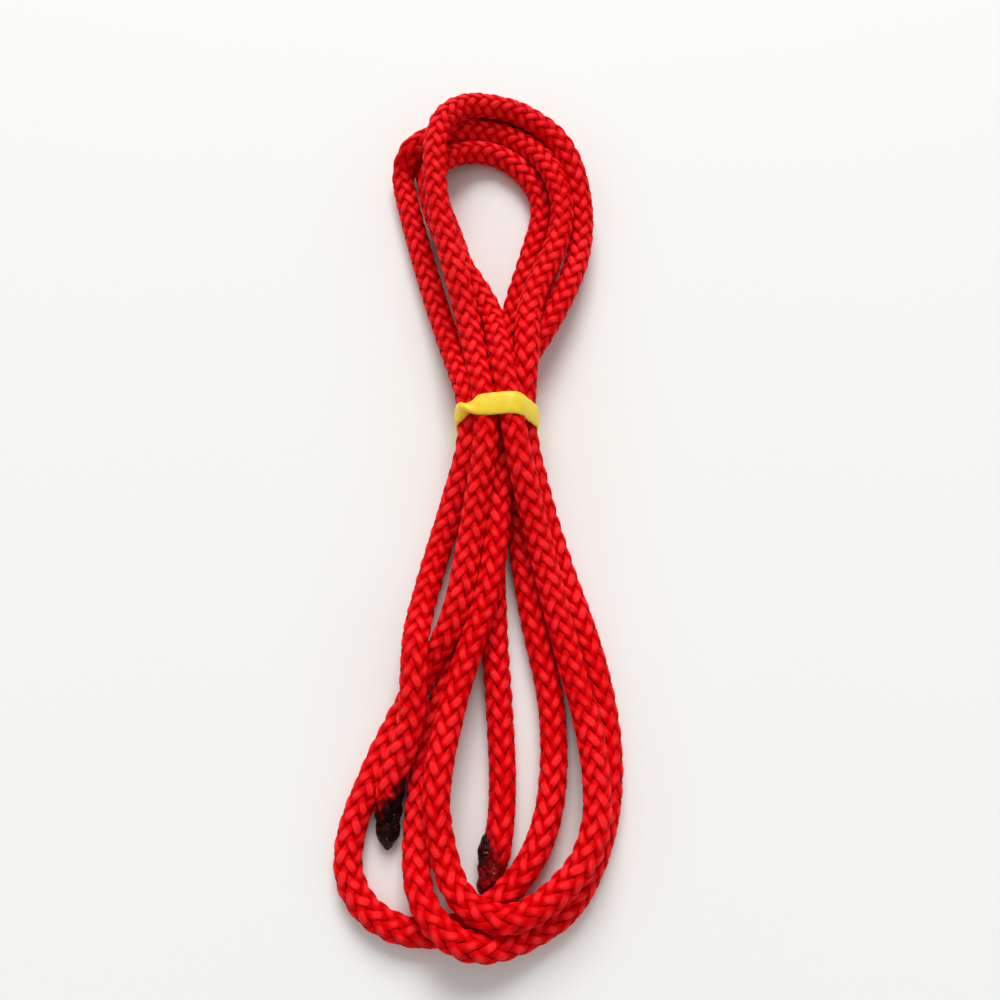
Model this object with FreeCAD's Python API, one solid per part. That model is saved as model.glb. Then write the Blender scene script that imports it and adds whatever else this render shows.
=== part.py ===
"""Lead rope: one length of braided cord folded into a flat hank and held by a rubber tie band.

Frame: millimetres, +Z up, the hank lying on the plane z = 0. +Y runs along the hank, from its
lower, open loops to its upper, hanging loops. The origin is at the middle of the hank's underside.
"""
import FreeCAD, Part
import math
import os

Vector = FreeCAD.Vector

# ---------------------------------------------------------------- driving dimensions, mm
ROPE_DIAMETER = 5.8          # over the braided cover
COVER_WALL = 0.8             # thickness of the braided cover
CORE_CLEARANCE = 0.25        # between the cover's bore and the core of straight yarns
RUN_SHARE = 0.45             # share of the shorter run that each tangent arc takes up

SEAL_LENGTH = 4.6            # melted lump beyond the cut end of the cover
SEAL_SHOULDER_SHARE = 0.35   # of its length, where the lump starts to taper
SEAL_WAIST_SHARE = 0.95      # of the cord's radius, at that shoulder
SEAL_TIP_RADIUS = 1.5        # the lump's small end
SEAL_BEAD_RADIUS = 2.3       # molten bead that ran out sideways on the second end
SEAL_BEAD_OFFSET = 1.2

BAND_WIDTH = 6.0
BAND_THICKNESS = 0.85
BAND_CLEARANCE = 0.25        # between the band and the strands that it gathers
BAND_CENTRE_Y = 18.0         # along the hank, before the frame is centred

# ---------------------------------------------------------------- the cord's route, mm
# One list, from the first free end to the second. The cord lies in layers one diameter apart:
# 3 is on the surface, 9 is over one strand, 15 is over two.
ROUTE = [
    # first free end, up over the left lobe and into the tie
    (-24.5, -77.0, 3.0), (-24.0, -68.0, 4.0), (-20.0, -56.5, 9.0), (-20.0, -42.0, 12.5),
    (-19.5, -34.0, 8.5), (-16.5, -17.5, 3.5), (-13.0, -5.0, 7.5),
    # left outer side of the upper loops, with a tight fold at the top
    (-7.0, 16.0, 11.0), (-15.5, 41.5, 5.0), (-21.0, 66.5, 3.0), (-25.0, 83.5, 3.0),
    (-27.5, 94.5, 3.0), (-24.5, 100.5, 9.5),
    # middle upper loop, down its right side
    (-16.0, 104.5, 8.5), (-6.5, 109.5, 3.5), (4.5, 107.5, 3.0), (15.0, 93.0, 8.5),
    (18.0, 72.5, 10.0), (8.0, 50.0, 12.0), (8.5, 33.0, 18.0),
    # outer lower loop, round the open end and back up inside
    (6.5, 16.0, 10.0), (10.0, -1.5, 7.0), (15.0, -19.0, 3.0), (23.0, -43.5, 3.5),
    (25.5, -70.0, 3.0), (18.0, -92.5, 3.5), (5.5, -99.5, 3.5), (-4.0, -101.5, 8.0),
    (-11.5, -98.5, 10.0), (-17.5, -91.0, 7.0), (-18.5, -79.5, 3.0), (-17.0, -61.0, 3.0),
    (-8.5, -36.0, 3.0), (-8.0, -10.5, 3.0), (-7.5, 16.0, 4.5),
    # bottom upper loop, beneath all the others
    (-5.5, 41.5, 3.0), (-13.0, 67.0, 3.0), (-17.5, 91.0, 3.0), (-21.5, 105.0, 3.0),
    (-15.0, 115.5, 3.0), (0.0, 120.5, 3.0), (14.5, 113.0, 3.0), (19.5, 98.5, 3.0),
    (17.0, 74.0, 3.0), (9.0, 49.0, 3.0), (5.0, 19.5, 4.5),
    # lower loop that ends in the left lobe, then over the rope's own run into the tie
    (4.0, -2.5, 3.0), (7.0, -28.5, 3.0), (13.0, -53.5, 3.0), (10.5, -81.0, 3.0),
    (-4.5, -96.5, 3.0), (-18.0, -99.5, 3.0), (-30.0, -94.0, 3.0), (-34.5, -82.5, 3.0),
    (-28.5, -62.5, 3.0), (-17.5, -43.0, 4.5), (-11.5, -32.5, 9.5), (-7.5, -9.5, 9.5),
    # outer upper loop, on top of the others
    (-2.5, 13.5, 16.5), (-7.0, 39.0, 8.5), (-11.5, 57.0, 15.0), (-17.0, 77.5, 16.0),
    (-17.5, 100.5, 16.0), (-10.5, 111.0, 11.5), (-2.0, 114.5, 7.0), (7.5, 111.5, 6.5),
    (20.5, 98.5, 10.5), (24.0, 75.0, 5.0), (16.0, 49.5, 9.0), (0.5, 23.0, 10.0),
    # inner lower loop, lying over the other two
    (0.0, 3.0, 9.5), (-2.0, -23.0, 10.0), (-10.5, -48.5, 8.5), (-14.5, -70.0, 9.5),
    (-12.5, -82.0, 7.0), (-9.0, -90.5, 8.5), (-0.5, -95.0, 9.5), (9.0, -92.5, 8.0),
    (20.5, -82.0, 10.0), (21.5, -62.5, 8.0), (14.5, -36.0, 7.0), (9.0, -12.0, 9.0),
    (4.5, 7.0, 17.0),
    # inner upper loop, under the outer one's left side
    (0.5, 32.0, 15.5), (-2.0, 49.5, 7.0), (-12.0, 64.0, 10.0), (-19.5, 82.5, 8.0),
    (-18.5, 92.5, 10.5), (-11.0, 101.0, 5.0), (-2.0, 102.5, 3.0), (7.5, 95.5, 3.0),
    (12.5, 84.0, 3.0), (8.5, 69.0, 3.0), (1.5, 44.5, 3.0),
    # down through the tie to the second free end
    (-1.5, 18.5, 4.5), (-2.0, -7.5, 3.0), (-1.5, -33.0, 3.0), (0.5, -60.0, 3.0),
    (0.0, -75.0, 3.0), (-2.5, -84.5, 3.0),
]

# The hank's middle on the surface, in the route's own coordinates: it becomes the origin.
HANK_CENTRE = Vector(-4.4, 9.1, 0.0)

# Strands on the outside of the bundle where the tie goes round it, (x, z), clockwise from the
# lower left as seen from the upper loops' end.
BUNDLE_RIM = [
    (-7.3, 4.0), (-8.9, 10.2), (-3.7, 14.8), (3.0, 16.5), (7.2, 12.8), (7.4, 10.2), (5.2, 4.0),
]

COVER_RADIUS = ROPE_DIAMETER / 2
BORE_RADIUS = COVER_RADIUS - COVER_WALL
CORE_RADIUS = BORE_RADIUS - CORE_CLEARANCE


def route_points():
    """The route in the part's frame."""
    return [Vector(*point) - HANK_CENTRE for point in ROUTE]


def tangent_arc(before, corner, after):
    """The arc that rounds one corner of the route, and its radius."""
    back = before - corner
    ahead = after - corner
    reach = RUN_SHARE * min(back.Length, ahead.Length)
    turn = math.pi - back.getAngle(ahead)
    radius = reach / math.tan(turn / 2)
    back.normalize()
    ahead.normalize()
    inward = back + ahead
    inward.normalize()
    start = corner + back * reach
    end = corner + ahead * reach
    middle = corner + inward * (radius / math.cos(turn / 2) - radius)
    return Part.Arc(start, middle, end), start, end, radius


def route_wire(points):
    """Straight runs joined by tangent arcs."""
    edges = []
    radii = []
    last = points[0]
    for before, corner, after in zip(points, points[1:], points[2:]):
        arc, start, end, radius = tangent_arc(before, corner, after)
        edges.append(Part.LineSegment(last, start).toShape())
        edges.append(arc.toShape())
        radii.append(radius)
        last = end
    edges.append(Part.LineSegment(last, points[-1]).toShape())
    return Part.Wire(edges), radii


def disc(centre, along, radius):
    return Part.Face(Part.Wire(Part.makeCircle(radius, centre, along)))


def make_cover(path, points):
    """The braided cover: a thin-walled tube along the whole route."""
    start = points[0]
    along = points[1] - start
    outer = Part.Wire(Part.makeCircle(COVER_RADIUS, start, along))
    bore = Part.Wire(Part.makeCircle(BORE_RADIUS, start, along))
    ring = Part.Face([outer, bore])
    ring.validate()
    return path.makePipe(ring)


def make_core(path, points):
    """The bundle of straight yarns inside the cover."""
    return path.makePipe(disc(points[0], points[1] - points[0], CORE_RADIUS))


def seal_body():
    """A tapered melted lump standing on z = 0, where it closes the cover and the core."""
    waist = SEAL_WAIST_SHARE * COVER_RADIUS
    shoulder = SEAL_SHOULDER_SHARE * SEAL_LENGTH
    tip_centre = SEAL_LENGTH - SEAL_TIP_RADIUS
    up = Vector(0, 0, 1)
    collar = Part.makeCone(COVER_RADIUS, waist, shoulder)
    taper = Part.makeCone(waist, SEAL_TIP_RADIUS, tip_centre - shoulder, up * shoulder)
    tip = Part.makeSphere(SEAL_TIP_RADIUS, up * tip_centre)
    return collar.fuse([taper, tip])


def make_sealed_end(tip, inside, bead_side=None):
    """The lump on the cord's end at tip, with a molten bead towards bead_side if that is given."""
    outward = tip - inside
    outward.normalize()
    body = seal_body()
    body.Placement = FreeCAD.Placement(tip, FreeCAD.Rotation(Vector(0, 0, 1), outward))
    if bead_side is None:
        return body
    bead_centre = tip + outward * SEAL_BEAD_RADIUS + bead_side * SEAL_BEAD_OFFSET
    return body.fuse(Part.makeSphere(SEAL_BEAD_RADIUS, bead_centre, outward))


def belt_wire(centres, radius, y):
    """A closed belt round equal pulleys, in the plane at y, its foot squared to the surface."""
    edges = []
    count = len(centres)
    for index in range(count):
        here = centres[index]
        ahead = centres[(index + 1) % count]
        behind = centres[index - 1]
        leave = outward_normal(here, ahead) * radius
        arrive = outward_normal(behind, here) * radius
        top = leave + arrive
        top.normalize()
        corner = [here + arrive, here + top * radius, here + leave]
        edges.append(Part.Arc(*corner).toShape())
        next_arrive = ahead + outward_normal(here, ahead) * radius
        edges.append(Part.LineSegment(corner[2], next_arrive).toShape())
    wire = Part.Wire(edges)
    wire.translate(Vector(0, y, 0))
    return wire


def outward_normal(here, ahead):
    """The belt's outside on a straight stretch, in the X-Z plane, for clockwise centres."""
    along = ahead - here
    along.normalize()
    return Vector(-along.z, 0, along.x)


def make_band():
    """The rubber tie band: a flat strip stretched round the eight strands of the bundle."""
    centres = [Vector(x - HANK_CENTRE.x, 0, z) for x, z in BUNDLE_RIM]
    near_edge = BAND_CENTRE_Y - HANK_CENTRE.y - BAND_WIDTH / 2
    inner_radius = COVER_RADIUS + BAND_CLEARANCE
    inner = Part.Face(belt_wire(centres, inner_radius, near_edge))
    outer = Part.Face(belt_wire(centres, inner_radius + BAND_THICKNESS, near_edge))
    along = Vector(0, BAND_WIDTH, 0)
    return outer.extrude(along).cut(inner.extrude(along))


def export(name, shape):
    solid = shape.Solids[0]
    solid.exportStep("parts/" + name + ".step")
    box = solid.BoundBox
    print(
        name, "valid", solid.isValid(), "solids", len(shape.Solids), "volume %.1f" % solid.Volume,
        "box", [round(v, 2) for v in (box.XMin, box.YMin, box.ZMin, box.XMax, box.YMax, box.ZMax)],
    )


def main():
    os.makedirs("parts", exist_ok=True)
    points = route_points()
    path, radii = route_wire(points)
    print("route length %.1f mm" % path.Length)
    print("arc radii, mm:", " ".join("%.0f" % radius for radius in radii))
    cover = make_cover(path, points)
    core = make_core(path, points)
    ring_area = math.pi * (COVER_RADIUS**2 - BORE_RADIUS**2)
    print("cover volume %.0f, section x length %.0f" % (cover.Volume, ring_area * path.Length))
    print("core volume %.0f, section x length %.0f" % (core.Volume, math.pi * CORE_RADIUS**2 * path.Length))
    export("rope_cover", cover)
    export("rope_core", core)
    export("sealed_end_first", make_sealed_end(points[0], points[1]))
    export("sealed_end_second", make_sealed_end(points[-1], points[-2], Vector(-1, 0, 0)))
    export("tie_band", make_band())


main()
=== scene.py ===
"""Lead rope: a hank of red diamond-braided cord, with two burnt ends and a yellow rubber band."""
import math

import bpy
import numpy as np
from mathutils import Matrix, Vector, noise


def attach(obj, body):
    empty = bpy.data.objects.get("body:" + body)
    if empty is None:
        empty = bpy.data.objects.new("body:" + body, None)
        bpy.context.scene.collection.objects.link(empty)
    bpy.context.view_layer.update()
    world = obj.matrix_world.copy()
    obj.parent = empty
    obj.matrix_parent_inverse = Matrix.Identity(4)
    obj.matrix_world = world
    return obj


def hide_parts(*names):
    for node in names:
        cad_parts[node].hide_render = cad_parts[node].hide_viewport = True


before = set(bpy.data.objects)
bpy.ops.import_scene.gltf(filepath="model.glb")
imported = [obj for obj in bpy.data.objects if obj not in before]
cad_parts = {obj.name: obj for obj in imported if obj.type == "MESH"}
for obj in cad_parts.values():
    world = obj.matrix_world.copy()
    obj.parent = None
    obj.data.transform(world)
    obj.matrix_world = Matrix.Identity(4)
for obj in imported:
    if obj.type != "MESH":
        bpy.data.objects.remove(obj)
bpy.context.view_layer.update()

MM = 0.001
TURN = 2 * math.pi
SEED = 7

# ---------------------------------------------------------------- the braid
LEAD = 33.5 * MM                # axial length of one turn of a yarn round the cord
YARNS_PER_HAND = 8
HANDS = (1, -1)                 # right-handed and left-handed yarns
PATH_STEP = 0.62 * MM           # spacing of the braid's cross-sections along the cord
YARN_SIDES = 10
YARN_HALF_WIDTH = 1.02 * MM
YARN_HALF_THICKNESS = 0.56 * MM
WIDTH_SHARES = (0.94, 0.08)     # of the half-width: mean, and gain on top of the wave
THICKNESS_SHARES = (0.92, 0.12)
BRAID_MEAN_RADIUS = 2.24 * MM   # the middle of the over-and-under wave
BRAID_WAVE = 0.43 * MM          # how far a yarn rises over and dips under the others
BRAID_SLANT = 0.06              # radians a yarn gains over its floats and loses beneath others
BRAID_ANGLE = -1.5 / 16         # turns, of the first yarns from the sky side
WAVE_OFFSETS = {1: -0.5, -1: -2.5}      # quarter waves, so that each hand dips under the other

SKY = (0.0, -0.25, 1.0)         # the side that the braid's first yarns keep towards
OCTAVES = (1.0, 0.53, 0.29)     # of the random waves that make the braid uneven
OCTAVE_TOTAL = 1.6              # brings their sum back to about 1
CORD_SWELL, CORD_SWELL_SCALE = 0.025, 60 * MM       # unevenness: share or radians, and length
WAVE_UNEVEN, WAVE_UNEVEN_SCALE = 0.12, 24 * MM
ANGLE_UNEVEN, ANGLE_UNEVEN_SCALE = 0.035, 18 * MM
CORD_WANDER, CORD_WANDER_SCALE = math.radians(16.0), 140 * MM
END_SQUEEZE, END_SQUEEZE_REACH = 0.22, 4 * MM       # the braid narrows into the melt

HEIGHT_LOW, HEIGHT_SPAN = 1.9 * MM, 1.3 * MM        # of the yarns' surface, for their painted shade and painted highlight
YARN_GRAIN = (2.2 * MM, 5.5, 3.0)       # filament grain: length along, and turns across
YARN_GRAIN_SHIFT = 10.0                 # so that no two yarns have the same grain
CORE_RADIUS = 2.0 * MM
CORE_SIDES = 12
CORE_STRIDE = 2
CORE_LUMPS, CORE_LUMPS_SCALE = 0.03, 3 * MM
CORE_GRAIN = (4 * MM, 6.0)
FLOOR_GAP = 0.04 * MM

# ---------------------------------------------------------------- view
CAMERA_TILT = math.radians(19.0)    # off straight down, from the lower loops' side
CAMERA_DISTANCE = 237.0 * MM        # to the spot on the surface at the middle of the view
CAMERA_AIM = (4.4 * MM, -9.1 * MM, 0.0)
CAMERA_LENS, CAMERA_SENSOR = 34.2, 36.0

# ---------------------------------------------------------------- surface and light
FLOOR_HALF_SIZE = 4.0
FLOOR_COLOUR = (0.80, 0.81, 0.785, 1.0)
WORLD_STRENGTH = 0.56
WINDOW_PLACE = (0.0, 3.3, 3.0)
WINDOW_SIZE = 2.4
WINDOW_POWER = 187.0

# ---------------------------------------------------------------- the cord's route
# In millimetres, from the first burnt end to the second: the CAD tube's points, some of them moved
# by a few millimetres to follow the photograph. The hank's middle becomes the origin.
HANK_CENTRE = np.array((-4.4, 9.1, 0.0))
ROUTE = [
    # first free end, up over the left lobe and into the tie
    (-24.7, -77.0, 3.0), (-24.7, -68.0, 5.3), (-19.3, -56.5, 9.0), (-19.2, -42.0, 12.5),
    (-19.2, -34.0, 8.5), (-15.9, -17.5, 3.5), (-11.9, -5.0, 5.4),
    # left outer side of the upper loops, with a tight fold at the top
    (-5.4, 16.0, 14.0), (-13.4, 41.5, 4.6), (-20.7, 66.5, 3.4), (-25.0, 83.5, 3.0),
    (-27.5, 94.5, 3.0), (-24.8, 99.0, 9.3),
    # middle upper loop, down its right side
    (-16.0, 104.5, 8.5), (-6.5, 109.5, 3.5), (4.5, 107.5, 3.0), (15.0, 93.0, 8.5),
    (17.6, 72.5, 10.0), (7.3, 50.0, 11.5), (6.6, 33.0, 14.5),
    # outer lower loop, round the open end and back up inside
    (5.3, 16.0, 10.0), (9.4, -1.5, 7.0), (14.6, -19.0, 3.2), (23.0, -43.5, 3.5),
    (25.5, -70.0, 3.0), (17.3, -92.1, 3.5), (5.5, -99.5, 3.5), (-4.0, -101.5, 8.0),
    (-11.5, -98.5, 10.0), (-17.5, -91.0, 7.0), (-18.5, -79.5, 3.0), (-17.0, -61.0, 3.0),
    (-8.5, -36.0, 3.0), (-7.2, -10.5, 3.0), (-7.3, 16.0, 4.5),
    # bottom upper loop, beneath all the others
    (-5.5, 41.5, 3.0), (-10.4, 67.0, 3.0), (-18.2, 89.0, 3.0), (-23.0, 99.6, 3.0),
    (-13.4, 115.0, 3.0), (-1.2, 117.6, 3.0), (12.2, 110.6, 3.0), (17.9, 97.6, 3.0),
    (15.8, 74.0, 3.0), (8.0, 49.0, 3.0), (5.0, 19.5, 4.2),
    # lower loop that ends in the left lobe, then over the rope's own run into the tie
    (4.0, -2.5, 3.0), (7.0, -28.5, 3.0), (13.0, -53.5, 3.0), (10.5, -81.0, 4.8),
    (-4.5, -96.5, 3.0), (-18.0, -99.5, 3.0), (-30.0, -94.0, 3.0), (-34.5, -82.5, 3.0),
    (-27.4, -62.5, 3.0), (-17.0, -43.0, 4.5), (-10.2, -32.5, 9.5), (-6.3, -9.5, 10.7),
    # outer upper loop, on top of the others
    (-2.3, 13.5, 17.2), (-6.8, 39.0, 10.3), (-11.5, 57.0, 15.0), (-17.0, 77.5, 16.0),
    (-17.6, 100.8, 16.0), (-11.0, 111.7, 11.5), (-2.0, 114.5, 7.7), (7.5, 111.1, 7.9),
    (19.2, 97.6, 10.5), (23.5, 75.0, 5.0), (15.7, 49.5, 8.5), (-1.3, 23.0, 8.8),
    # inner lower loop, lying over the other two
    (0.0, 3.0, 9.5), (-1.5, -23.0, 9.4), (-10.1, -48.5, 8.5), (-14.5, -70.0, 9.5),
    (-12.5, -82.0, 7.0), (-9.0, -91.3, 8.5), (-0.5, -96.3, 9.5), (9.0, -93.4, 8.0),
    (20.5, -82.0, 10.0), (21.5, -62.5, 8.0), (14.5, -36.0, 7.0), (9.0, -12.0, 9.0),
    (4.0, 7.0, 17.0),
    # inner upper loop, under the outer one's left side
    (0.5, 32.0, 16.2), (-2.0, 49.5, 7.0), (-12.0, 64.0, 10.0), (-19.5, 82.5, 8.0),
    (-18.5, 92.5, 10.5), (-11.0, 101.0, 5.0), (-2.0, 102.5, 3.0), (7.5, 95.5, 3.0),
    (12.5, 84.0, 3.0), (8.5, 69.0, 3.0), (1.5, 44.5, 3.0),
    # down through the tie to the second free end
    (-1.5, 18.5, 4.5), (-2.0, -7.5, 3.0), (-1.5, -33.0, 3.0), (0.5, -60.0, 3.0),
    (0.6, -76.0, 3.0), (-1.4, -86.5, 3.0),
]

# ---------------------------------------------------------------- the burnt ends
# Stations of the melted tips, in millimetres: distance past the last whole braid, half-width,
# half-height, drift sideways (towards the photograph's left) and lift.
FIRST_TIP = [
    (-3.2, 1.8, 1.8, 0.0, 0.0), (-1.8, 2.3, 2.3, 0.0, 0.0), (-0.2, 2.75, 2.6, 0.0, 0.0),
    (1.4, 2.7, 2.4, 0.0, -0.1), (2.8, 2.1, 1.9, 0.0, -0.4), (4.0, 1.35, 1.3, 0.0, -0.8),
    (5.0, 0.7, 0.7, 0.1, -1.1), (5.5, 0.05, 0.08, 0.1, -1.2),
]
SECOND_TIP = [
    (-3.0, 1.8, 1.8, 0.0, 0.0), (-1.6, 2.3, 2.4, 0.1, 0.0), (0.0, 2.7, 2.6, 0.2, 0.0),
    (1.4, 2.5, 2.4, 0.6, -0.1), (2.6, 2.0, 2.0, 1.1, -0.3), (3.7, 1.3, 1.5, 1.5, -0.6),
    (4.5, 0.7, 0.8, 1.7, -0.8), (4.9, 0.06, 0.1, 1.7, -0.9),
]
TIP_STEPS, TIP_SIDES = 84, 72
# Beads of melt that cling to the ends, in millimetres: distance past the braid, place sideways
# and up, and three half-sizes.
FIRST_BEADS = [(-2.2, -1.5, 1.2, 2.6, 1.3, 1.4)]
SECOND_BEADS = [(-4.2, 2.3, 0.4, 4.0, 1.8, 2.1), (-0.6, 2.2, 0.2, 2.6, 1.4, 1.6)]
MELT_SMOOTHINGS = 6
MELT_LUMPS = ((0.36, 2.4, 5.3), (0.12, 0.9, 2.9), (0.04, 0.35, 7.7))    # height, size, shift
MELT_RAGGED = ((0.5, 1.6, 8.3), (0.25, 0.6, 1.3))
BEAD_POLE = 0.02                # radians left open at a bead's two ends, for their caps
MELT_FADE = 0.12                # share of a shell over which its lumps die away at each end
CHAR_LEAST = 0.05
# Char on the yarns near each end: millimetres reached on the cool side, more on the hot side, how
# sharply the hot side stands out, and the blackest that it gets.
FIRST_CHAR = (4.0, 8.0, 1.7, 1.0)
SECOND_CHAR = (3.5, 5.0, 1.2, 0.4)
CHAR_SPREAD = 5.0               # millimetres over which it fades out
CHAR_LIMIT = 25.0               # millimetres from an end beyond which there is none
CHAR_RAGGED = ((3.0, 1.5 * MM, 3.7), (1.5, 0.5 * MM, 9.1))

# ---------------------------------------------------------------- the tie band
BAND_CENTRE_Y = 17.6            # in the route's millimetres
BAND_HALF_WIDTH = 2.85 * MM
BAND_HALF_THICKNESS = 0.42 * MM
BAND_REACH = 3.35 * MM          # from a strand's centreline to the middle of the rubber
BAND_FLOOR_SHARE = 1.1          # of its half-thickness, between its middle and the surface
BAND_SMOOTHINGS = 4
BAND_STATIONS = 260
BAND_SIDES = 20
BAND_SQUARENESS = 0.55          # power of the section's sine and cosine; 1 is an ellipse
BAND_CUP = 0.22 * MM
BAND_RIPPLE = 0.05 * MM
BAND_GRAIN = (5.0, 2.5)         # millimetres along, and turns across
BELT_DIRECTIONS = 1440
TWIST_REACH = 3.1 * MM          # of the turn-over, in from the bundle's left side
TWIST_HALF_LENGTH = 3.4         # millimetres of band
TWIST_NARROWING = 0.42          # share of the band's width lost in the middle of the turn-over
TWIST_BUNCHING = 1.5            # share of its thickness gained there
TWIST_PINCH = 0.85              # length of that, as a share of the turn-over's


# ---------------------------------------------------------------- helpers
def unit(vectors):
    return vectors / np.maximum(np.linalg.norm(vectors, axis=-1, keepdims=True), 1e-12)


def smoothstep(low, high, value):
    share = np.clip((value - low) / (high - low), 0.0, 1.0)
    return share * share * (3.0 - 2.0 * share)


def route_line():
    """Points along the route's own NURBS spline, in metres, in the model's frame."""
    curve = bpy.data.curves.new("route", "CURVE")
    curve.dimensions = "3D"
    spline = curve.splines.new("NURBS")
    spline.points.add(len(ROUTE) - 1)
    for point, place in zip(spline.points, ROUTE):
        point.co = (*((np.array(place) - HANK_CENTRE) * MM), 1.0)
    spline.order_u = 3
    spline.use_endpoint_u = True
    spline.resolution_u = 32
    holder = bpy.data.objects.new("route", curve)
    mesh = bpy.data.meshes.new_from_object(holder)
    line = np.array([vertex.co[:] for vertex in mesh.vertices])
    bpy.data.meshes.remove(mesh)
    bpy.data.objects.remove(holder)
    bpy.data.curves.remove(curve)
    return line


def distances(line):
    """How far along the line each of its points is."""
    return np.concatenate(([0.0], np.cumsum(np.linalg.norm(np.diff(line, axis=0), axis=1))))


def even_line(line, step):
    """The same line with evenly spaced points, and how far along it each point is."""
    reach = distances(line)
    count = int(round(reach[-1] / step)) + 1
    along = np.linspace(0.0, reach[-1], count)
    points = np.stack([np.interp(along, reach, line[:, axis]) for axis in range(3)], axis=1)
    return points, along


def smooth_noise(along, scale, rng):
    """A gentle random wave along the cord, about -1 to 1."""
    total = np.zeros_like(along)
    for octave in OCTAVES:
        phase = rng.uniform(0.0, TURN)
        length = scale * octave * rng.uniform(0.8, 1.2)
        total += octave * np.sin(TURN * along / length + phase)
    return total / OCTAVE_TOTAL


def lumps(points, size, shift):
    """Perlin noise at the points, for features of the given size."""
    flat = points.reshape(-1, 3) / size + shift
    return np.array([noise.noise(Vector(place)) for place in flat]).reshape(points.shape[:-1])


def layered_lumps(points, layers):
    """The sum of several sizes of noise, each given as (height, size, shift)."""
    return sum(height * lumps(points, size, shift) for height, size, shift in layers)


def around(count):
    """Evenly spaced angles round a section."""
    return np.arange(count) * TURN / count


def cord_frames(points, along, rng):
    """Two directions across the cord: towards the sky, with a slow wander, and to its side."""
    tangent = unit(np.gradient(points, axis=0))
    side = unit(np.cross(tangent, SKY))
    top = np.cross(side, tangent)
    wander = CORD_WANDER * smooth_noise(along, CORD_WANDER_SCALE, rng)
    cos, sin = np.cos(wander)[:, None], np.sin(wander)[:, None]
    return top * cos + side * sin, side * cos - top * sin


def new_piece(name, vertices, faces, material, layers):
    """A smooth-shaded mesh object with named values on its points."""
    mesh = bpy.data.meshes.new(name)
    mesh.from_pydata(vertices.reshape(-1, 3).tolist(), [], faces)
    mesh.polygons.foreach_set("use_smooth", np.ones(len(faces), dtype=bool))
    for label, values in layers.items():
        vector = values.shape[-1] == 3 and values.size == vertices.size
        layer = mesh.attributes.new(label, "FLOAT_VECTOR" if vector else "FLOAT", "POINT")
        numbers = values.reshape(-1).astype(np.float32)
        layer.data.foreach_set("vector" if vector else "value", numbers)
    mesh.materials.append(material)
    mesh.validate()
    piece = bpy.data.objects.new(name, mesh)
    bpy.context.scene.collection.objects.link(piece)
    return piece


def tube_faces(tubes, steps, sides, closed=False):
    """Faces over rings laid out as (tubes, steps, sides); open tubes are capped."""
    index = np.arange(tubes * steps * sides).reshape(tubes, steps, sides)
    here, ahead = (index, np.roll(index, -1, 1)) if closed else (index[:, :-1], index[:, 1:])
    quads = np.stack([here, np.roll(here, -1, 2), np.roll(ahead, -1, 2), ahead], axis=-1)
    faces = quads.reshape(-1, 4).tolist()
    if not closed:
        for tube in index:
            faces.append(tube[0][::-1].tolist())
            faces.append(tube[-1].tolist())
    return faces


def seat(piece, node):
    """Put a piece in a CAD node's place."""
    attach(piece, "root")
    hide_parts(node)


# ---------------------------------------------------------------- materials
# Colour ramps: yarn by how far it stands out of the braid, as painted shade where it dips between
# the floats and a painted highlight on the floats' crowns, and cord by how burnt it is.
# painted shade in the low stops, where the yarn dips between the floats; painted highlight in the
# last stop, on the floats' crowns
YARN_PAINTED_SHADE_AND_HIGHLIGHT = [
    (0.2, (0.42, 0.0, 0.0008)), (0.65, (0.61, 0.0002, 0.0018)), (0.9, (0.74, 0.0006, 0.003)),
    (1.0, (1.0, 0.026, 0.03)),
]
BURN = [
    (0.0, (0.40, 0.0016, 0.003)), (0.3, (0.15, 0.002, 0.003)), (0.62, (0.03, 0.002, 0.002)),
    (1.0, (0.006, 0.002, 0.002)),
]


def new_material(name):
    material = bpy.data.materials.new(name)
    material.use_nodes = True
    nodes = material.node_tree.nodes
    return material, nodes, material.node_tree.links, nodes["Principled BSDF"]


def attribute(nodes, name):
    node = nodes.new("ShaderNodeAttribute")
    node.attribute_name = name
    return node


def ramp(nodes, links, source, stops):
    node = nodes.new("ShaderNodeValToRGB")
    elements = node.color_ramp.elements
    while len(elements) < len(stops):
        elements.new(0.5)
    for element, (place, colour) in zip(elements, stops):
        element.position = place
        element.color = (*colour, 1.0)
    links.new(source, node.inputs["Fac"])
    return node.outputs["Color"]


def mix_colour(nodes, links, factor, first, second, blend="MIX"):
    """Two colours mixed; the factor is a number or another node's output."""
    node = nodes.new("ShaderNodeMix")
    node.data_type = "RGBA"
    node.blend_type = blend
    if isinstance(factor, float):
        node.inputs[0].default_value = factor
    else:
        links.new(factor, node.inputs[0])
    links.new(first, node.inputs[6])
    links.new(second, node.inputs[7])
    return node.outputs[2]


def grain(nodes, links, vector, scale, detail):
    node = nodes.new("ShaderNodeTexNoise")
    node.inputs["Scale"].default_value = scale
    node.inputs["Detail"].default_value = detail
    node.inputs["Roughness"].default_value = 0.6
    links.new(vector, node.inputs["Vector"])
    return node.outputs["Fac"]


def bumps(nodes, links, shader, height, strength, distance):
    bump = nodes.new("ShaderNodeBump")
    bump.inputs["Strength"].default_value = strength
    bump.inputs["Distance"].default_value = distance
    links.new(height, bump.inputs["Height"])
    links.new(bump.outputs["Normal"], shader.inputs["Normal"])


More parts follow.
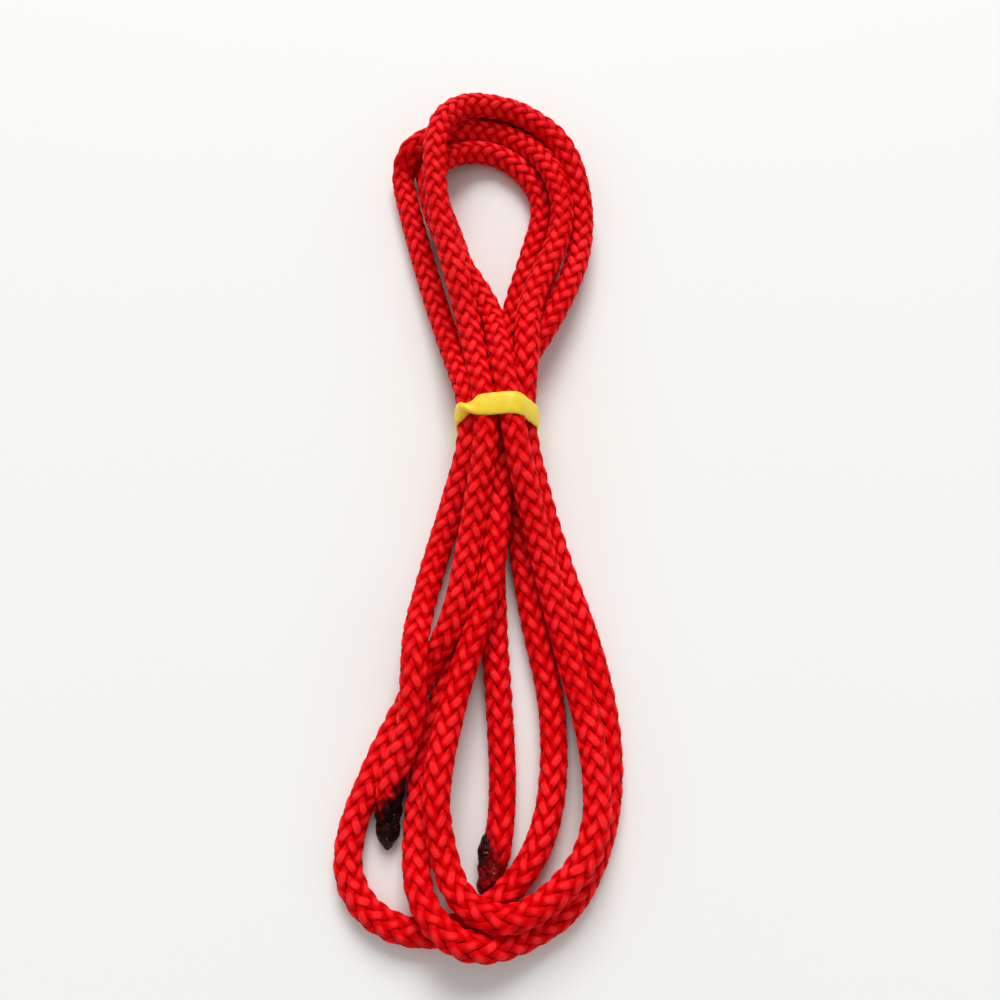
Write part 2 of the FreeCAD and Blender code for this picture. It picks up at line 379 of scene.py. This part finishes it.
def yarn_material():
    """Silky red multifilament yarn, with painted shade between the floats, a painted highlight on
    their crowns, and charred near the ends.
    """
    material, nodes, links, shader = new_material("red_yarn")
    filaments = grain(nodes, links, attribute(nodes, "strand").outputs["Vector"], 1.0, 2.0)
    streaks = ramp(nodes, links, filaments, [(0.3, (0.78, 0.3, 0.4)), (0.66, (1.0, 1.0, 1.0))])
    height = attribute(nodes, "height").outputs["Fac"]
    # painted shade and highlight: the yarn is darkened where it dips into the braid and brightened
    # at the top of each float
    painted_shade_and_highlight = ramp(nodes, links, height, YARN_PAINTED_SHADE_AND_HIGHLIGHT)
    shaded = mix_colour(nodes, links, 1.0, painted_shade_and_highlight, streaks, "MULTIPLY")
    char = attribute(nodes, "char").outputs["Fac"]
    burnt = ramp(nodes, links, char, BURN)
    burning = ramp(nodes, links, char, [(0.0, (0.0, 0.0, 0.0)), (0.3, (1.0, 1.0, 1.0))])
    links.new(mix_colour(nodes, links, burning, shaded, burnt), shader.inputs["Base Color"])
    bumps(nodes, links, shader, filaments, 0.5, 0.00025)
    shader.inputs["Roughness"].default_value = 0.42
    shader.inputs["Specular IOR Level"].default_value = 0.035
    return material


def core_material():
    """Filling yarn, hardly seen between the floats, coloured a darker red than the braid's yarns as
    painted shade, with random grain.
    """
    material, nodes, links, shader = new_material("core_yarn")
    strand = attribute(nodes, "strand").outputs["Vector"]
    # painted shade: the filling yarn is a darker red than the yarns over it, for the shade between
    # the floats; the noise is random tone
    painted_shade_tone = ramp(nodes, links, grain(nodes, links, strand, 1.0, 2.0),
                [(0.3, (0.30, 0.0, 0.001)), (0.7, (0.45, 0.001, 0.002))])
    links.new(painted_shade_tone, shader.inputs["Base Color"])
    shader.inputs["Roughness"].default_value = 0.8
    shader.inputs["Specular IOR Level"].default_value = 0.1
    return material


def melt_material():
    """Melted and charred cord: black where it burnt, dark red where it melted, a few pale specks.
    """
    material, nodes, links, shader = new_material("charred_melt")
    coords = nodes.new("ShaderNodeTexCoord").outputs["Object"]
    mottle = grain(nodes, links, coords, 1100.0, 4.0)
    colour = ramp(nodes, links, attribute(nodes, "char").outputs["Fac"], BURN)
    flecks = ramp(nodes, links, mottle, [(0.35, (0.55, 0.5, 0.5)), (0.75, (1.5, 1.9, 1.9))])
    scorched = mix_colour(nodes, links, 1.0, colour, flecks, "MULTIPLY")
    # pale pinkish specks, added where a fine noise runs high
    pale_specks = ramp(nodes, links, grain(nodes, links, coords, 1700.0, 1.0),
               [(0.66, (0.0, 0.0, 0.0)), (0.76, (0.34, 0.15, 0.12))])
    links.new(mix_colour(nodes, links, 1.0, scorched, pale_specks, "ADD"), shader.inputs["Base Color"])
    bumps(nodes, links, shader, mottle, 0.6, 0.0004)
    shader.inputs["Roughness"].default_value = 0.4
    shader.inputs["Specular IOR Level"].default_value = 0.08
    return material


def band_material():
    """Yellow natural rubber, slightly uneven, with a faint translucent warmth."""
    material, nodes, links, shader = new_material("yellow_rubber")
    strand = attribute(nodes, "strand").outputs["Vector"]
    streaks = grain(nodes, links, strand, 1.0, 3.0)
    colour = ramp(nodes, links, streaks,
                  [(0.25, (0.95, 0.54, 0.018)), (0.75, (0.98, 0.66, 0.034))])
    links.new(colour, shader.inputs["Base Color"])
    bumps(nodes, links, shader, streaks, 0.25, 0.0002)
    shader.inputs["Roughness"].default_value = 0.42
    shader.inputs["Specular IOR Level"].default_value = 0.3
    shader.inputs["Subsurface Weight"].default_value = 0.6
    shader.inputs["Subsurface Radius"].default_value = (0.004, 0.0026, 0.0003)
    shader.inputs["Subsurface Scale"].default_value = 0.8
    return material


# ---------------------------------------------------------------- the braided cord
def spread(values, shape):
    """Three sets of values over the whole shape, as one vector at each point."""
    return np.stack([np.broadcast_to(value, shape) for value in values], axis=-1)


def braid(points, along, frames, rng):
    """Cross-sections of the sixteen yarns of a two-over, two-under diamond braid."""
    top, side = frames
    length = along[-1]
    crossing = len(HANDS) * YARNS_PER_HAND * along / LEAD
    swell = 1.0 + CORD_SWELL * smooth_noise(along, CORD_SWELL_SCALE, rng)
    from_end = np.minimum(along, length - along)
    swell = swell * (1.0 - END_SQUEEZE * (1.0 - smoothstep(0.0, END_SQUEEZE_REACH, from_end)))
    turn = around(YARN_SIDES) - math.pi / 2
    cos, sin = np.cos(turn), np.sin(turn)
    rings, strands, heights, chars = [], [], [], []
    for hand in HANDS:
        for index in range(YARNS_PER_HAND):
            phase = math.pi / 2 * (2 * index + hand * crossing + WAVE_OFFSETS[hand])
            uneven = 1.0 + WAVE_UNEVEN * smooth_noise(along, WAVE_UNEVEN_SCALE, rng)
            wave = np.cos(phase) * uneven
            angle = TURN * (index / YARNS_PER_HAND + hand * along / LEAD + BRAID_ANGLE)
            angle = angle + BRAID_SLANT * np.sin(phase)
            angle = angle + ANGLE_UNEVEN * smooth_noise(along, ANGLE_UNEVEN_SCALE, rng)
            radius = (BRAID_MEAN_RADIUS + BRAID_WAVE * wave) * swell
            out = top * np.cos(angle)[:, None] + side * np.sin(angle)[:, None]
            centre = points + out * radius[:, None]
            run = unit(np.gradient(centre, axis=0))
            across = unit(np.cross(run, out))
            lift = np.cross(across, run)
            width = YARN_HALF_WIDTH * (WIDTH_SHARES[0] + WIDTH_SHARES[1] * wave)
            thick = YARN_HALF_THICKNESS * (THICKNESS_SHARES[0] + THICKNESS_SHARES[1] * wave)
            ring = (
                centre[:, None]
                + across[:, None] * (width[:, None] * cos)[..., None]
                + lift[:, None] * (thick[:, None] * sin)[..., None]
            )
            rings.append(ring)
            reach = np.linalg.norm(ring - points[:, None], axis=2)
            heights.append((reach - HEIGHT_LOW) / HEIGHT_SPAN)
            code = YARN_GRAIN_SHIFT * (index + YARNS_PER_HAND * (hand == 1))
            grain_place = (
                along[:, None] / YARN_GRAIN[0], YARN_GRAIN[1] * cos + code, YARN_GRAIN[2] * sin,
            )
            strands.append(spread(grain_place, reach.shape))
            chars.append(char_on_yarn(along, length, angle, ring))
    return np.array(rings), np.array(strands), np.array(heights), np.array(chars)


def char_on_yarn(along, length, angle, ring):
    """How burnt a yarn is at each of its points, 0 to 1; the heat went further along one side."""
    burnt = np.zeros(ring.shape[:2])
    hot_side = 0.5 + 0.5 * np.sin(angle)
    ends = ((along / MM, FIRST_CHAR), ((length - along) / MM, SECOND_CHAR))
    for distance, (cool_reach, extra_reach, sharpness, blackest) in ends:
        near = np.where(distance < CHAR_LIMIT)[0]
        reach = cool_reach + extra_reach * hot_side[near] ** sharpness
        ragged = layered_lumps(ring[near], CHAR_RAGGED)
        gap = distance[near][:, None] - reach[:, None] + ragged
        char = 1.0 - smoothstep(-CHAR_SPREAD, CHAR_SPREAD / 2, gap)
        burnt[near] = np.maximum(burnt[near], blackest * char)
    return burnt


def make_rope(points, along, frames, rng):
    rings, strands, heights, chars = braid(points, along, frames, rng)
    rings[..., 2] = np.maximum(rings[..., 2], FLOOR_GAP)
    faces = tube_faces(*rings.shape[:3])
    layers = {"height": heights, "char": chars, "strand": strands}
    rope = new_piece("rope", rings, faces, yarn_material(), layers)
    seat(rope, "rope_cover")
    return rope


def make_core(points, along, frames):
    """The filling yarns inside the braid, as one soft round bundle."""
    points, along, top, side = (values[::CORE_STRIDE] for values in (points, along, *frames))
    turn = around(CORE_SIDES)
    cos, sin = np.cos(turn), np.sin(turn)
    lumpy = np.cos(4 * turn + along[:, None] / CORE_LUMPS_SCALE)
    radius = CORE_RADIUS * (1.0 + CORE_LUMPS * lumpy)
    out = top[:, None] * cos[:, None] + side[:, None] * sin[:, None]
    rings = (points[:, None] + out * radius[..., None])[None]
    length, turns = CORE_GRAIN
    grain_place = (along[:, None] / length, turns * cos, turns * sin)
    layers = {"strand": spread(grain_place, rings.shape[:3])}
    core = new_piece("core", rings, tube_faces(*rings.shape[:3]), core_material(), layers)
    seat(core, "rope_core")
    return core


# ---------------------------------------------------------------- the melted tips
def tip_shell(stations, steps, sides):
    """A tapering tube through the stations, as (steps, sides, 3), and its axis."""
    table = np.array(stations)
    places = np.linspace(0.0, len(stations) - 1.0, steps)
    far, wide, high, drift, lift = (
        np.interp(places, np.arange(len(stations)), table[:, column]) for column in range(5)
    )
    for _ in range(MELT_SMOOTHINGS):
        for line in (wide, high, drift, lift):
            line[1:-1] = (line[:-2] + 2 * line[1:-1] + line[2:]) / 4
    turn = around(sides)
    across = drift[:, None] + wide[:, None] * np.cos(turn)
    rise = lift[:, None] + high[:, None] * np.sin(turn)
    axis = np.stack([far, drift, lift], axis=-1)[:, None]
    return spread((far[:, None], across, rise), across.shape), axis


def bead_shell(bead, steps, sides):
    """An egg-shaped bead laid out like the tip's shell, and its axis."""
    centre, sizes = np.array(bead[:3]), np.array(bead[3:])
    sweep = np.linspace(BEAD_POLE, math.pi - BEAD_POLE, steps)[:, None]
    turn = around(sides)
    place = (-np.cos(sweep), np.sin(sweep) * np.cos(turn), np.sin(sweep) * np.sin(turn))
    return centre + sizes * spread(place, (steps, sides)), centre[None, None]


def make_tip(name, node, base, outward, stations, beads, burn, material):
    """An irregular melted tip lofted through its stations, with beads of melt clinging to it."""
    outward = unit(outward)
    sideways = unit(np.cross(outward, (0.0, 0.0, 1.0)))
    up = np.cross(sideways, outward)
    axes = np.stack([outward, sideways, up])
    steps, sides = TIP_STEPS, TIP_SIDES
    places = np.linspace(0.0, 1.0, steps)[:, None]
    fade = smoothstep(0.0, MELT_FADE, 1.0 - places) * smoothstep(0.0, MELT_FADE, places)
    parts = [tip_shell(stations, steps, sides)]
    parts += [bead_shell(bead, steps, sides) for bead in beads]
    shells, chars = [], []
    for shell, axis in parts:
        swelling = layered_lumps(shell, MELT_LUMPS) * fade
        local = shell + unit(shell - axis) * swelling[..., None]
        world = base + MM * (local @ axes)
        world[..., 2] = np.maximum(world[..., 2], FLOOR_GAP)
        shells.append(world)
        ragged = layered_lumps(local, MELT_RAGGED)
        chars.append(np.clip(burn(local) + ragged, CHAR_LEAST, 1.0))
    faces = tube_faces(len(shells), steps, sides)
    tip = new_piece(name, np.array(shells), faces, material, {"char": np.array(chars)})
    seat(tip, node)
    return tip


def burn_first(local):
    """How burnt the first tip is: black, a little less so at one side of its base."""
    return 0.95 - 0.25 * smoothstep(-1.0, 2.5, local[..., 1]) * (local[..., 0] < 1.0)


def burn_second(local):
    """How burnt the second tip is: dark red melt, blacker where its upper bead clings."""
    black = smoothstep(0.8, 2.4, local[..., 1]) * (1.0 - smoothstep(-2.4, 0.6, local[..., 0]))
    return 0.34 + 0.45 * black


# ---------------------------------------------------------------- the rubber band
def belt_loop(points):
    """A taut closed loop round the strands under the band, clockwise from its left side.

    Gives its points across the hank, how far along it they are, its length, and its place in Y.
    """
    level = (BAND_CENTRE_Y - HANK_CENTRE[1]) * MM
    ahead = points[:, 1] - level
    cuts = np.where(np.sign(ahead[1:]) != np.sign(ahead[:-1]))[0]
    share = (ahead[cuts] / (ahead[cuts] - ahead[cuts + 1]))[:, None]
    crossing = (points[cuts] + share * (points[cuts + 1] - points[cuts]))[:, (0, 2)]
    turn = np.linspace(math.pi, -math.pi, BELT_DIRECTIONS, endpoint=False)
    facing = np.stack([np.cos(turn), np.sin(turn)], axis=1)
    best = np.argmax(facing @ crossing.T, axis=1)
    loop = crossing[best] + BAND_REACH * facing
    lowest = FLOOR_GAP + BAND_HALF_THICKNESS * BAND_FLOOR_SHARE
    loop[:, 1] = np.maximum(loop[:, 1], lowest)
    closed = np.vstack([loop, loop[:1]])
    reach = distances(closed)
    along = np.linspace(0.0, reach[-1], BAND_STATIONS, endpoint=False)
    flat = np.stack([np.interp(along, reach, closed[:, axis]) for axis in range(2)], axis=1)
    for _ in range(BAND_SMOOTHINGS):
        flat = (np.roll(flat, 1, 0) + 2 * flat + np.roll(flat, -1, 0)) / 4
    return flat, along, reach[-1], level


def rounded(values):
    """A sine or cosine, squared off for the section of a flat strip."""
    return np.sign(values) * np.abs(values) ** BAND_SQUARENESS


def make_band(points):
    """A flat rubber band pulled tight, turned over once where it climbs on to the top strands."""
    flat, along, total, level = belt_loop(points)
    ahead = np.roll(flat, -1, 0) - np.roll(flat, 1, 0)
    zeros = np.zeros(len(flat))
    outward = unit(np.stack([-ahead[:, 1], zeros, ahead[:, 0]], axis=1))
    width_way = np.broadcast_to((0.0, 1.0, 0.0), outward.shape)
    centre = np.stack([flat[:, 0], np.full(len(flat), level), flat[:, 1]], axis=1)

    # place: millimetres along the band from the middle of its turn-over, which is on its upper side
    from_twist = np.abs(flat[:, 0] - (flat[:, 0].min() + TWIST_REACH))
    on_lower_side = flat[:, 1] < flat[:, 1].mean()
    start = int(np.argmin(from_twist + on_lower_side))
    total = total / MM
    place = ((along - along[start]) / MM + total / 2) % total - total / 2
    turned = math.pi * smoothstep(-TWIST_HALF_LENGTH, TWIST_HALF_LENGTH, place)
    pinch = np.exp(-(place / (TWIST_PINCH * TWIST_HALF_LENGTH)) ** 2)
    half = BAND_HALF_WIDTH * (1.0 - TWIST_NARROWING * pinch)
    bunched = BAND_HALF_THICKNESS * (1.0 + TWIST_BUNCHING * pinch)
    raised = TWIST_NARROWING * half * np.sin(turned)
    centre = centre + outward * raised[:, None]
    cos, sin = np.cos(turned)[:, None], np.sin(turned)[:, None]
    across = width_way * cos + outward * sin
    face = outward * cos - width_way * sin

    turn = around(BAND_SIDES)
    flat_cos, flat_sin = rounded(np.cos(turn)), rounded(np.sin(turn))
    cup = BAND_CUP * (flat_cos ** 2 - 0.4)
    ripple = BAND_RIPPLE * np.sin(place[:, None] * 2.1 + 3 * flat_cos)
    proud = bunched[:, None] * flat_sin - cos * cup + ripple
    rings = (
        centre[:, None]
        + across[:, None] * (half[:, None] * flat_cos)[..., None]
        + face[:, None] * proud[..., None]
    )
    rings[..., 2] = np.maximum(rings[..., 2], FLOOR_GAP)
    length, turns = BAND_GRAIN
    grain_place = (place[:, None] / length, turns * flat_cos, turns * flat_sin)
    layers = {"strand": spread(grain_place, rings.shape[:2])[None]}
    faces = tube_faces(1, BAND_STATIONS, BAND_SIDES, closed=True)
    band = new_piece("rubber_band", rings[None], faces, band_material(), layers)
    seat(band, "tie_band")
    return band


# ---------------------------------------------------------------- surface, light and camera
def make_floor():
    mesh = bpy.data.meshes.new("surface")
    half = FLOOR_HALF_SIZE
    corners = [(-half, -half, 0), (half, -half, 0), (half, half, 0), (-half, half, 0)]
    mesh.from_pydata(corners, [], [(0, 1, 2, 3)])
    material, _, _, shader = new_material("pale_surface")
    shader.inputs["Base Color"].default_value = FLOOR_COLOUR
    shader.inputs["Roughness"].default_value = 0.7
    shader.inputs["Specular IOR Level"].default_value = 0.2
    mesh.materials.append(material)
    floor = bpy.data.objects.new("surface", mesh)
    bpy.context.scene.collection.objects.link(floor)


def area_light(name, place, size, power):
    """A square soft light that faces the middle of the hank."""
    light = bpy.data.lights.new(name, "AREA")
    light.shape = "SQUARE"
    light.size = size
    light.energy = power
    holder = bpy.data.objects.new(name, light)
    holder.location = place
    holder.rotation_euler = Vector(place).to_track_quat("Z", "Y").to_euler()
    bpy.context.scene.collection.objects.link(holder)


def make_view():
    scene = bpy.context.scene
    world = bpy.data.worlds.new("studio")
    world.use_nodes = True
    background = world.node_tree.nodes["Background"]
    background.inputs["Color"].default_value = (1.0, 1.0, 1.0, 1.0)
    background.inputs["Strength"].default_value = WORLD_STRENGTH
    scene.world = world
    area_light("window", WINDOW_PLACE, WINDOW_SIZE, WINDOW_POWER)
    camera = bpy.data.cameras.new("camera")
    camera.sensor_width = CAMERA_SENSOR
    camera.lens = CAMERA_LENS
    camera.clip_start = 0.01
    holder = bpy.data.objects.new("camera", camera)
    holder.location = (
        CAMERA_AIM[0],
        CAMERA_AIM[1] - CAMERA_DISTANCE * math.sin(CAMERA_TILT),
        CAMERA_DISTANCE * math.cos(CAMERA_TILT),
    )
    holder.rotation_euler = (CAMERA_TILT, 0.0, 0.0)
    scene.collection.objects.link(holder)
    scene.camera = holder
    scene.view_settings.view_transform = "Standard"


# ---------------------------------------------------------------- the whole scene
rng = np.random.default_rng(SEED)
path, along = even_line(route_line(), PATH_STEP)
frames = cord_frames(path, along, rng)
rope = make_rope(path, along, frames, rng)
core = make_core(path, along, frames)
melt = melt_material()
first_end = make_tip("first_burnt_end", "sealed_end_first", path[0], path[0] - path[4],
                     FIRST_TIP, FIRST_BEADS, burn_first, melt)
second_end = make_tip("second_burnt_end", "sealed_end_second", path[-1], path[-1] - path[-5],
                      SECOND_TIP, SECOND_BEADS, burn_second, melt)
band = make_band(path)
make_floor()
make_view()
